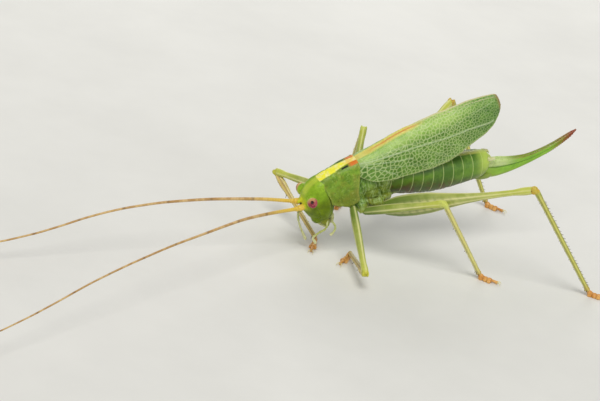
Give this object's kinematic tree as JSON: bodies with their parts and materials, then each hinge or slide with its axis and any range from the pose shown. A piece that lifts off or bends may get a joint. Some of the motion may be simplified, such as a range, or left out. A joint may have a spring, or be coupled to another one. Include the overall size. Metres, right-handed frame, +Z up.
{
  "type": "long horned grasshopper",
  "caption": "Life-size model of a female long-horned grasshopper standing on its feet, with thread-like feelers, roof-like wings, long leaping hind legs and an upcurved sabre-like egg-layer",
  "frame": {"origin": "On the floor, under the middle of the model's bounding box, feelers and egg-layer included.", "axes": "+Z is up. +X runs from the head toward the tail, along the feelers' and the body's length. +Y is the insect's right side."},
  "size_m": [0.0624, 0.0288, 0.0149],
  "materials": {
    "green_skin": "satin yellow-green cuticle, painted",
    "pale_skin": "satin pale green cuticle, painted",
    "yellow_skin": "satin yellow cuticle, painted",
    "leg": "satin olive to pale green cuticle, painted",
    "foot": "satin orange-brown cuticle, painted",
    "feeler": "matt tan with dark rings, painted",
    "wing": "satin veined green membrane, painted",
    "ovipositor": "polished green with a brown tip, painted",
    "eye": "glossy rose-red, painted"
  },
  "bodies": {
    "root": {"abdomen": "green_skin", "antenna_left_1": "feeler", "antenna_left_2": "feeler", "antenna_left_3": "feeler", "antenna_right_1": "feeler", "antenna_right_2": "feeler", "antenna_right_3": "feeler", "cercus_left": "pale_skin", "cercus_right": "pale_skin", "clypeus_labrum": "yellow_skin", "coxa_front_left": "green_skin", "coxa_front_right": "green_skin", "coxa_hind_left": "green_skin", "coxa_hind_right": "green_skin", "coxa_mid_left": "green_skin", "coxa_mid_right": "green_skin", "eye_left": "eye", "eye_right": "eye", "femur_front_left": "leg", "femur_front_right": "leg", "femur_hind_left": "leg", "femur_hind_right": "leg", "femur_mid_left": "leg", "femur_mid_right": "leg", "forewing_left": "wing", "forewing_right": "wing", "head": "green_skin", "hindwings": "wing", "labium": "pale_skin", "mandible_left": "pale_skin", "mandible_right": "pale_skin", "ovipositor": "ovipositor", "palp_labial_left": "pale_skin", "palp_labial_right": "pale_skin", "palp_maxillary_left": "pale_skin", "palp_maxillary_right": "pale_skin", "pronotum": "green_skin", "scape_left": "yellow_skin", "scape_right": "yellow_skin", "subgenital_plate": "green_skin", "tarsus_front_left": "foot", "tarsus_front_right": "foot", "tarsus_hind_left": "foot", "tarsus_hind_right": "foot", "tarsus_mid_left": "foot", "tarsus_mid_right": "foot", "thorax": "green_skin", "tibia_front_left": "leg", "tibia_front_right": "leg", "tibia_hind_left": "leg", "tibia_hind_right": "leg", "tibia_mid_left": "leg", "tibia_mid_right": "leg"}
  },
  "joints": []
}
